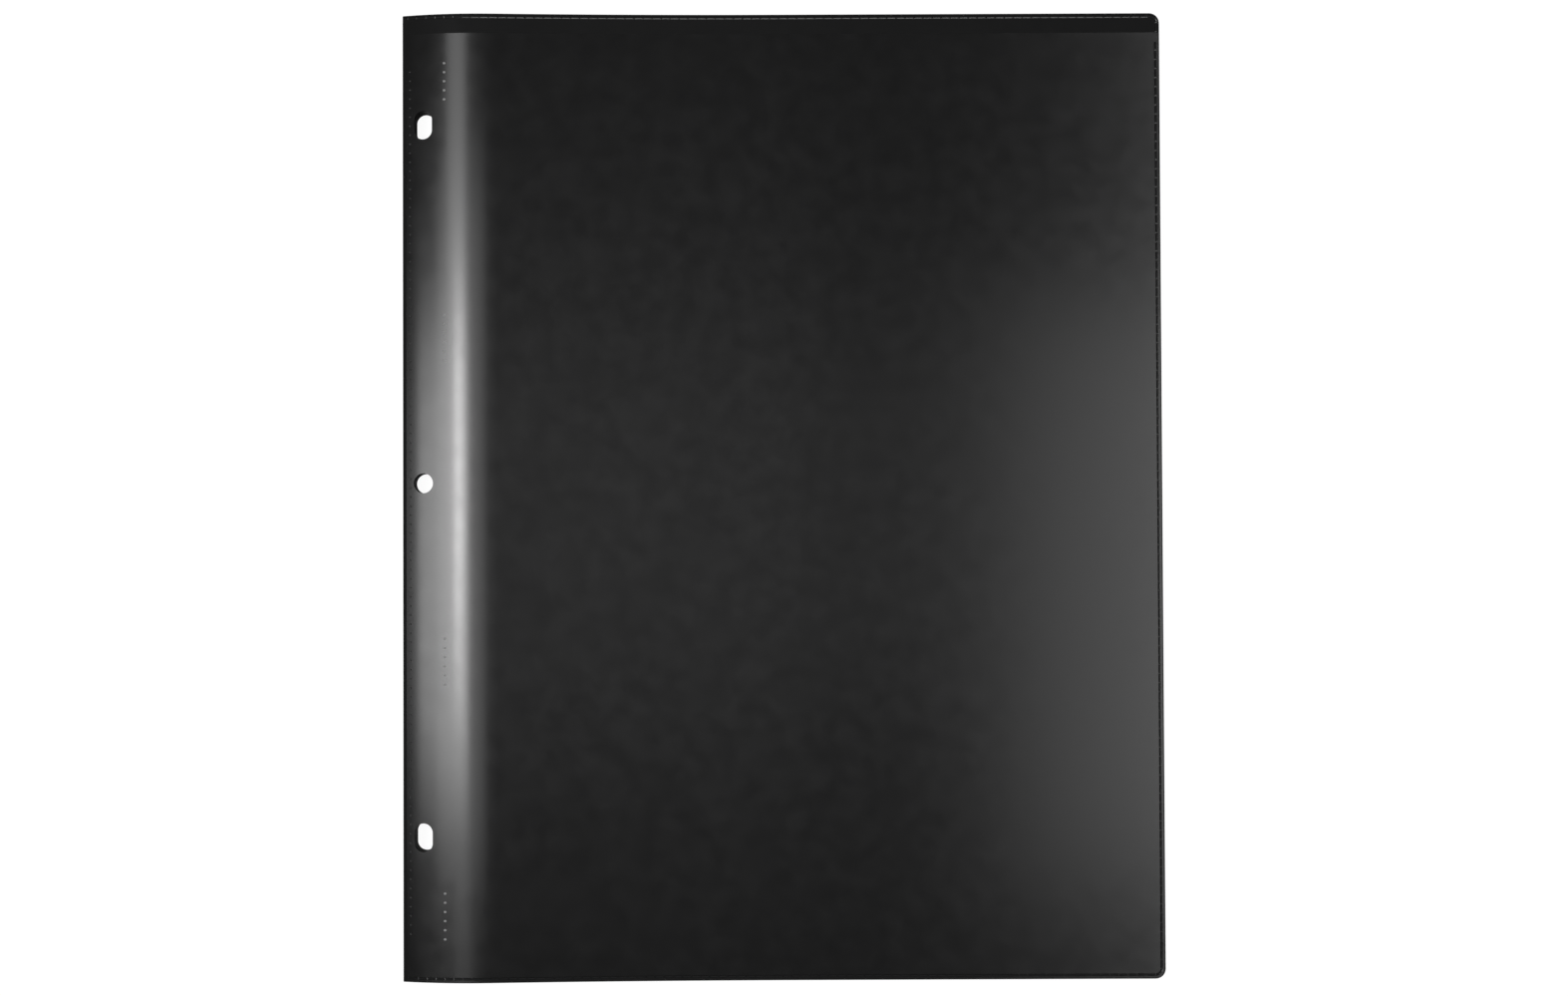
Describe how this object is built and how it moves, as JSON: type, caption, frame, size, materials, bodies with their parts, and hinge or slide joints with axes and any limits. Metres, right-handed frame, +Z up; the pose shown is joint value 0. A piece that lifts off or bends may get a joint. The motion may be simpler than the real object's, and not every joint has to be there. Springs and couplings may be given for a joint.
{
  "type": "punched pocket folder",
  "caption": "Letter-size plastic pocket folder with a view film over its front cover, inner divider leaves and a punched spine margin for a ring binder.",
  "frame": {"origin": "middle of the back cover's underside, the face the closed folder lies on", "axes": "+X from the folded spine to the fore edge, +Y up the page, +Z up through the closed stack, out of the front cover"},
  "size_m": [0.2304, 0.293, 0.0114],
  "materials": {
    "cover_sheet": "black polypropylene sheet with a fine matte grain",
    "view_film": "thin black film, satin gloss",
    "pocket_film": "thin black polypropylene with a fine grain",
    "leaf_sheet": "black polypropylene divider sheet with a fine grain"
  },
  "bodies": {
    "binding": {"spine_wrap": "cover_sheet", "view_film_margin": "view_film", "leaf_1_margin": "leaf_sheet", "leaf_2_margin": "leaf_sheet", "leaf_3_margin": "leaf_sheet", "leaf_4_margin": "leaf_sheet"},
    "front_cover": {"front_cover_panel": "cover_sheet", "view_film_panel": "view_film", "front_liner_pocket": "pocket_film"},
    "back_cover": {"back_cover_panel": "cover_sheet", "back_liner_pocket": "pocket_film"},
    "leaf_1": {"leaf_1_sheet": "leaf_sheet", "leaf_1_front_pocket": "pocket_film", "leaf_1_back_pocket": "pocket_film"},
    "leaf_2": {"leaf_2_sheet": "leaf_sheet", "leaf_2_front_pocket": "pocket_film", "leaf_2_back_pocket": "pocket_film"},
    "leaf_3": {"leaf_3_sheet": "leaf_sheet", "leaf_3_front_pocket": "pocket_film", "leaf_3_back_pocket": "pocket_film"},
    "leaf_4": {"leaf_4_sheet": "leaf_sheet", "leaf_4_front_pocket": "pocket_film", "leaf_4_back_pocket": "pocket_film"}
  },
  "joints": [
    {"name": "front_cover_hinge", "type": "hinge", "parent": "binding", "child": "front_cover", "pos_m": [-0.09275, 0, 0.0115], "axis": [0, -1, 0], "range_deg": [0, 178]},
    {"name": "back_cover_hinge", "type": "hinge", "parent": "binding", "child": "back_cover", "pos_m": [-0.09275, 0, -0.0001], "axis": [0, 1, 0], "range_deg": [0, 180]},
    {"name": "leaf_1_hinge", "type": "hinge", "parent": "binding", "child": "leaf_1", "pos_m": [-0.08325, 0, 0.00281], "axis": [0, -1, 0], "range_deg": [0, 180]},
    {"name": "leaf_2_hinge", "type": "hinge", "parent": "binding", "child": "leaf_2", "pos_m": [-0.08475, 0, 0.00477], "axis": [0, -1, 0], "range_deg": [0, 180]},
    {"name": "leaf_3_hinge", "type": "hinge", "parent": "binding", "child": "leaf_3", "pos_m": [-0.08625, 0, 0.00679], "axis": [0, -1, 0], "range_deg": [0, 180]},
    {"name": "leaf_4_hinge", "type": "hinge", "parent": "binding", "child": "leaf_4", "pos_m": [-0.08775, 0, 0.00886], "axis": [0, -1, 0], "range_deg": [0, 180]}
  ],
  "couplings": [
    {"joint": "leaf_1_hinge", "follows": "front_cover_hinge", "ratio": 0.15},
    {"joint": "leaf_2_hinge", "follows": "front_cover_hinge", "ratio": 0.35},
    {"joint": "leaf_3_hinge", "follows": "front_cover_hinge", "ratio": 0.55},
    {"joint": "leaf_4_hinge", "follows": "front_cover_hinge", "ratio": 0.75}
  ]
}
